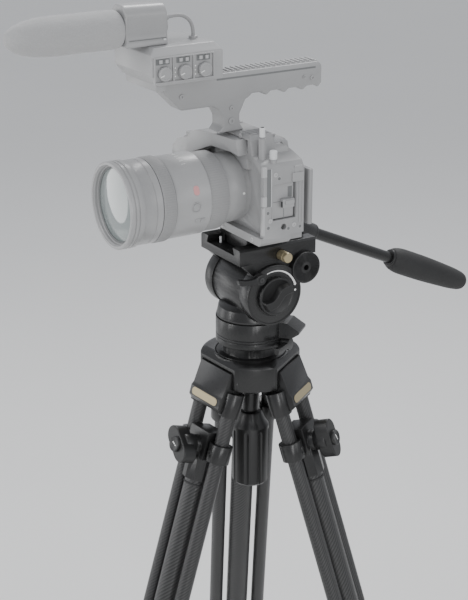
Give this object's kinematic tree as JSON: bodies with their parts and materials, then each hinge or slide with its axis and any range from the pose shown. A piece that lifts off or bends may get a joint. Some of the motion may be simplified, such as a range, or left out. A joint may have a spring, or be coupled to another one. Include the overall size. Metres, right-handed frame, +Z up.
{
  "type": "video camera on tripod",
  "caption": "Caged video camera with zoom lens, top handle and shotgun microphone on a fluid head with pan bar and a folding twin-tube tripod.",
  "frame": {"origin": "on the pan axis at floor level, between the three feet", "axes": "+Z up along the pan axis; the lens points to -Y; the side with the drag dial is +X"},
  "size_m": [0.4596, 0.6047, 1.086],
  "materials": {
    "black_casting": "satin black anodised casting",
    "carbon_tube": "woven carbon fibre under satin lacquer",
    "black_plastic": "fine-grained moulded plastic",
    "black_rubber": "matt moulded rubber",
    "champagne_metal": "satin champagne anodising",
    "pale_alloy": "pale grey satin anodising",
    "pale_plastic": "pale grey moulded plastic",
    "pale_rubber": "pale grey ribbed rubber",
    "lens_glass": "coated optical glass",
    "pale_foam": "open-cell foam",
    "screen_back": "pale grey moulded plastic",
    "lead_jacket": "soft cable jacket"
  },
  "bodies": {
    "crown": {"crown": "black_casting"},
    "leg_front": {"yoke_front": "black_casting", "outer_tubes_front": "carbon_tube", "guide_block_front": "black_casting"},
    "stage_front": {"collar_front": "black_casting", "centre_tube_front": "carbon_tube", "ankle_clamp_front": "black_casting"},
    "shank_front": {"lower_tube_front": "carbon_tube", "foot_front": "black_rubber"},
    "knob_front": {"lock_knob_front": "black_plastic"},
    "leg_right": {"yoke_right": "black_casting", "outer_tubes_right": "carbon_tube", "guide_block_right": "black_casting"},
    "stage_right": {"collar_right": "black_casting", "centre_tube_right": "carbon_tube", "ankle_clamp_right": "black_casting"},
    "shank_right": {"lower_tube_right": "carbon_tube", "foot_right": "black_rubber"},
    "knob_right": {"lock_knob_right": "black_plastic"},
    "leg_left": {"yoke_left": "black_casting", "outer_tubes_left": "carbon_tube", "guide_block_left": "black_casting"},
    "stage_left": {"collar_left": "black_casting", "centre_tube_left": "carbon_tube", "ankle_clamp_left": "black_casting"},
    "shank_left": {"lower_tube_left": "carbon_tube", "foot_left": "black_rubber"},
    "knob_left": {"lock_knob_left": "black_plastic"},
    "head_base": {"head_base": "black_casting", "tie_stud": "black_casting"},
    "tie_handle": {"tie_handle": "black_plastic"},
    "pan_lock": {"pan_lock": "black_plastic"},
    "pan_housing": {"pan_housing": "black_casting"},
    "cradle": {"tilt_cradle": "black_casting", "platform": "black_casting"},
    "safety_button": {"safety_button": "champagne_metal"},
    "drag_dial": {"drag_dial": "black_plastic"},
    "tilt_lock": {"tilt_lock": "black_plastic"},
    "camera": {"quick_plate": "black_casting", "cage": "pale_alloy", "camera_body": "pale_plastic", "lens_barrel": "pale_plastic", "front_glass": "lens_glass", "top_handle": "pale_alloy", "adapter": "pale_plastic", "mic_clamp": "pale_plastic", "mic_body": "pale_plastic", "mic_foam": "pale_foam", "mic_lead": "lead_jacket"},
    "zoom_ring": {"zoom_ring": "pale_rubber"},
    "focus_ring": {"focus_ring": "pale_rubber"},
    "screen": {"screen": "screen_back"},
    "shutter_button": {"shutter_button": "pale_plastic"},
    "gain_dial_front": {"gain_dial_front": "pale_plastic"},
    "gain_dial_middle": {"gain_dial_middle": "pale_plastic"},
    "gain_dial_back": {"gain_dial_back": "pale_plastic"},
    "bar": {"bar_bracket": "black_casting", "pan_bar": "black_casting", "bar_grip": "black_rubber"},
    "bar_knob": {"bar_knob": "black_plastic"}
  },
  "joints": [
    {"name": "fold_front", "type": "hinge", "parent": "crown", "child": "leg_front", "pos_m": [0.00272, -0.03891, 0.684], "axis": [0.9976, 0.0698, 0], "range_deg": [0, 11]},
    {"name": "extend_front", "type": "slide", "parent": "leg_front", "child": "stage_front", "axis": [0.0206, -0.295, -0.9553], "range_m": [0, 0.44]},
    {"name": "extend_lower_front", "type": "slide", "parent": "stage_front", "child": "shank_front", "axis": [0.0206, -0.295, -0.9553], "range_m": [0, 0.36]},
    {"name": "lock_front", "type": "hinge", "parent": "stage_front", "child": "knob_front", "pos_m": [0.00545, -0.07794, 0.61237], "axis": [0.0666, -0.953, 0.2957], "continuous": true},
    {"name": "fold_right", "type": "hinge", "parent": "crown", "child": "leg_right", "pos_m": [0.03233, 0.02181, 0.684], "axis": [-0.5592, 0.829, 0], "range_deg": [0, 11]},
    {"name": "extend_right", "type": "slide", "parent": "leg_right", "child": "stage_right", "axis": [0.2452, 0.1654, -0.9553], "range_m": [0, 0.44]},
    {"name": "extend_lower_right", "type": "slide", "parent": "stage_right", "child": "shank_right", "axis": [0.2452, 0.1654, -0.9553], "range_m": [0, 0.36]},
    {"name": "lock_right", "type": "hinge", "parent": "stage_right", "child": "knob_right", "pos_m": [0.06477, 0.04369, 0.61237], "axis": [0.792, 0.5342, 0.2957], "continuous": true},
    {"name": "fold_left", "type": "hinge", "parent": "crown", "child": "leg_left", "pos_m": [-0.03505, 0.0171, 0.684], "axis": [-0.4384, -0.8988, 0], "range_deg": [0, 11]},
    {"name": "extend_left", "type": "slide", "parent": "leg_left", "child": "stage_left", "axis": [-0.2658, 0.1296, -0.9553], "range_m": [0, 0.44]},
    {"name": "extend_lower_left", "type": "slide", "parent": "stage_left", "child": "shank_left", "axis": [-0.2658, 0.1296, -0.9553], "range_m": [0, 0.36]},
    {"name": "lock_left", "type": "hinge", "parent": "stage_left", "child": "knob_left", "pos_m": [-0.07022, 0.03425, 0.61237], "axis": [-0.8586, 0.4188, 0.2957], "continuous": true},
    {"name": "level", "type": "hinge", "parent": "crown", "child": "head_base", "pos_m": [0, 0, 0.701], "axis": [1, 0, 0], "range_deg": [-5, 5]},
    {"name": "tie_down", "type": "hinge", "parent": "head_base", "child": "tie_handle", "pos_m": [0, 0, 0.548], "axis": [0, 0, 1], "continuous": true},
    {"name": "pan", "type": "hinge", "parent": "head_base", "child": "pan_housing", "pos_m": [0, 0, 0.745], "axis": [0, 0, 1], "continuous": true},
    {"name": "pan_lock", "type": "hinge", "parent": "head_base", "child": "pan_lock", "pos_m": [0.03324, 0.01842, 0.719], "axis": [0.8746, 0.4848, 0], "range_deg": [-32, 0]},
    {"name": "tilt", "type": "hinge", "parent": "pan_housing", "child": "cradle", "pos_m": [0, 0.001, 0.779], "axis": [1, 0, 0], "range_deg": [-40, 70]},
    {"name": "drag", "type": "hinge", "parent": "cradle", "child": "drag_dial", "pos_m": [0.044, 0.001, 0.779], "axis": [1, 0, 0], "range_deg": [-130, 0]},
    {"name": "tilt_lock", "type": "hinge", "parent": "cradle", "child": "tilt_lock", "pos_m": [0.044, -0.0195, 0.8015], "axis": [1, 0, 0], "range_deg": [0, 60]},
    {"name": "safety_button", "type": "slide", "parent": "cradle", "child": "safety_button", "axis": [-1, 0, 0], "range_m": [0, 0.003], "stiffness_N_per_m": 600},
    {"name": "plate_slide", "type": "slide", "parent": "cradle", "child": "camera", "axis": [0, 1, 0], "range_m": [-0.012, 0.015]},
    {"name": "bar_swing", "type": "hinge", "parent": "cradle", "child": "bar", "pos_m": [-0.0463, 0.039, 0.803], "axis": [1, 0, 0], "range_deg": [-10, 50]},
    {"name": "bar_clamp", "type": "hinge", "parent": "bar", "child": "bar_knob", "pos_m": [-0.058, 0.039, 0.803], "axis": [-1, 0, 0], "continuous": true},
    {"name": "zoom", "type": "hinge", "parent": "camera", "child": "zoom_ring", "pos_m": [0, -0.05, 0.89], "axis": [0, 1, 0], "range_deg": [0, 70]},
    {"name": "focus", "type": "hinge", "parent": "camera", "child": "focus_ring", "pos_m": [0, -0.112, 0.89], "axis": [0, 1, 0], "continuous": true},
    {"name": "screen", "type": "hinge", "parent": "camera", "child": "screen", "pos_m": [0.0625, 0.03, 0.857], "axis": [0, 0, 1], "range_deg": [-170, 0]},
    {"name": "shutter", "type": "slide", "parent": "camera", "child": "shutter_button", "axis": [0, 0, -1], "range_m": [0, 0.0015], "stiffness_N_per_m": 500},
    {"name": "gain_front", "type": "hinge", "parent": "camera", "child": "gain_dial_front", "pos_m": [0.03, -0.118, 1.022], "axis": [1, 0, 0], "range_deg": [-150, 150]},
    {"name": "gain_middle", "type": "hinge", "parent": "camera", "child": "gain_dial_middle", "pos_m": [0.03, -0.096, 1.022], "axis": [1, 0, 0], "range_deg": [-150, 150]},
    {"name": "gain_back", "type": "hinge", "parent": "camera", "child": "gain_dial_back", "pos_m": [0.03, -0.074, 1.022], "axis": [1, 0, 0], "range_deg": [-150, 150]}
  ]
}
